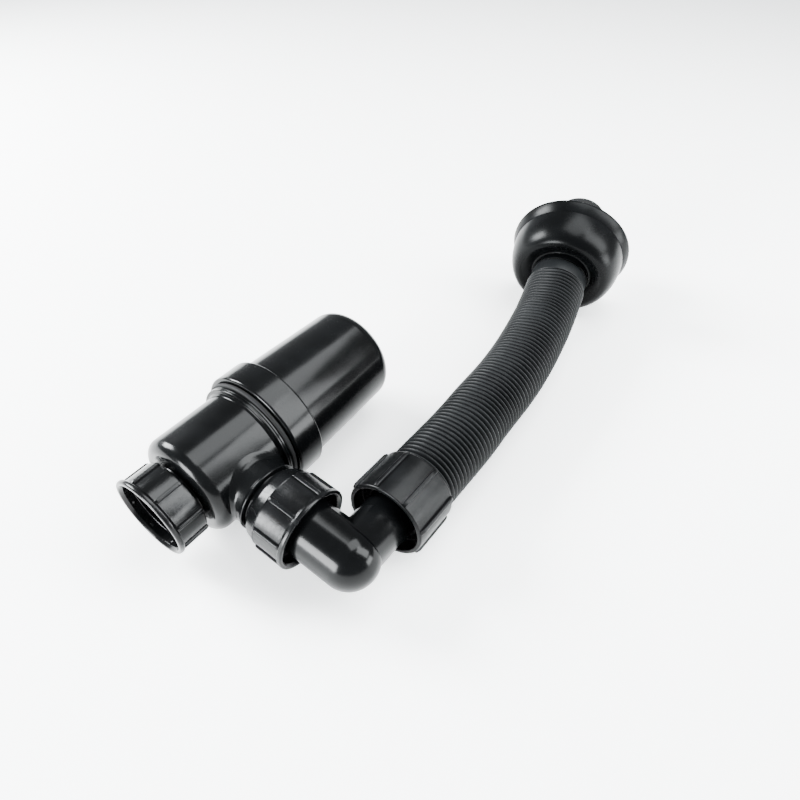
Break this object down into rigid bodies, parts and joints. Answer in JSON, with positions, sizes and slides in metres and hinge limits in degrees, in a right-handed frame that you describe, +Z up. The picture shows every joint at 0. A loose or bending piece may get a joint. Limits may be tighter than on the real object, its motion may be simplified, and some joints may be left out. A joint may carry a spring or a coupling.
{
  "type": "bottle trap with corrugated outlet hose",
  "caption": "Bottle trap laid on its side: ribbed inlet and outlet union nuts, screw-off cup, swivel elbow, corrugated hose and domed wall flange.",
  "frame": {"origin": "middle of the footprint at floor height, with the trap lying as it rests on a floor; the hose isn't counted", "axes": "+Z up, +X along the bottle from the inlet nut to the cup, -Y towards the elbow"},
  "size_m": [0.3872, 0.1494, 0.0864],
  "materials": {
    "moulded_black": "glossy black moulded polypropylene",
    "nut_black": "glossy black moulded nut with fine draw marks",
    "hose_black": "satin black flexible corrugated plastic",
    "seal_rubber": "soft matt black rubber"
  },
  "bodies": {
    "trap": {"trap_body": "moulded_black", "dip_tube": "moulded_black", "inlet_washer": "seal_rubber"},
    "inlet_nut": {"inlet_nut": "nut_black"},
    "cup_thread": {"cup_gasket": "seal_rubber"},
    "cup": {"trap_cup": "moulded_black"},
    "outlet_nut": {"outlet_nut": "nut_black"},
    "elbow_thread": {"outlet_washer": "seal_rubber"},
    "elbow": {"outlet_elbow": "moulded_black"},
    "hose_nut_thread": {"hose_washer": "seal_rubber"},
    "hose_nut": {"hose_nut": "nut_black"},
    "hose_start": {"hose_cuff": "moulded_black", "corrugated_hose": "hose_black"},
    "hose_end": {"wall_pipe": "moulded_black"},
    "flange": {"wall_flange": "moulded_black"},
    "seal": {"wall_seal": "seal_rubber"}
  },
  "joints": [
    {"name": "inlet_nut_spin", "type": "hinge", "parent": "trap", "child": "inlet_nut", "pos_m": [-0.18416, 0.03905, 0.03677], "axis": [-1, 0, 0], "continuous": true},
    {"name": "cup_lift", "type": "slide", "parent": "trap", "child": "cup_thread", "axis": [1, 0, 0], "range_m": [0, 0.009]},
    {"name": "cup_turn", "type": "hinge", "parent": "cup_thread", "child": "cup", "pos_m": [-0.11216, 0.03905, 0.03677], "axis": [1, 0, 0], "range_deg": [0, 1080]},
    {"name": "outlet_nut_swivel", "type": "hinge", "parent": "trap", "child": "outlet_nut", "pos_m": [-0.14716, -0.01565, 0.03102], "axis": [0, -0.9945, -0.1045], "range_deg": [-90, 90]},
    {"name": "elbow_draw", "type": "slide", "parent": "outlet_nut", "child": "elbow_thread", "axis": [0, -0.9945, -0.1045], "range_m": [0, 0.003]},
    {"name": "elbow_turn", "type": "hinge", "parent": "elbow_thread", "child": "elbow", "pos_m": [-0.14716, -0.02063, 0.0305], "axis": [0, -0.9945, -0.1045], "range_deg": [0, 360]},
    {"name": "hose_nut_draw", "type": "slide", "parent": "elbow", "child": "hose_nut_thread", "axis": [0.9984, 0.0058, -0.0555], "range_m": [0, 0.003]},
    {"name": "hose_nut_turn", "type": "hinge", "parent": "hose_nut_thread", "child": "hose_nut", "pos_m": [-0.10223, -0.0504, 0.02484], "axis": [0.9984, 0.0058, -0.0555], "range_deg": [0, 360]},
    {"name": "hose_swivel", "type": "hinge", "parent": "hose_nut", "child": "hose_start", "pos_m": [-0.09724, -0.05037, 0.02456], "axis": [0.9984, 0.0058, -0.0555], "range_deg": [-90, 90]},
    {"name": "hose_bend", "type": "hinge", "parent": "hose_start", "child": "hose_end", "pos_m": [0.00684, -0.04936, 0.02297], "axis": [0, 0, 1], "range_deg": [-25, 25], "deforming": ["corrugated_hose"]},
    {"name": "flange_spin", "type": "hinge", "parent": "hose_end", "child": "flange", "pos_m": [0.13349, -0.02756, 0.03941], "axis": [0.9473, 0.2301, 0.2231], "continuous": true},
    {"name": "seal_slide", "type": "slide", "parent": "hose_end", "child": "seal", "axis": [0.9473, 0.2301, 0.2231], "range_m": [-0.006, 0.001]}
  ],
  "couplings": [
    {"joint": "cup_turn", "follows": "cup_lift", "rad_per_m": 2094.4},
    {"joint": "elbow_turn", "follows": "elbow_draw", "rad_per_m": 2094.4},
    {"joint": "hose_nut_turn", "follows": "hose_nut_draw", "rad_per_m": 2094.4}
  ]
}
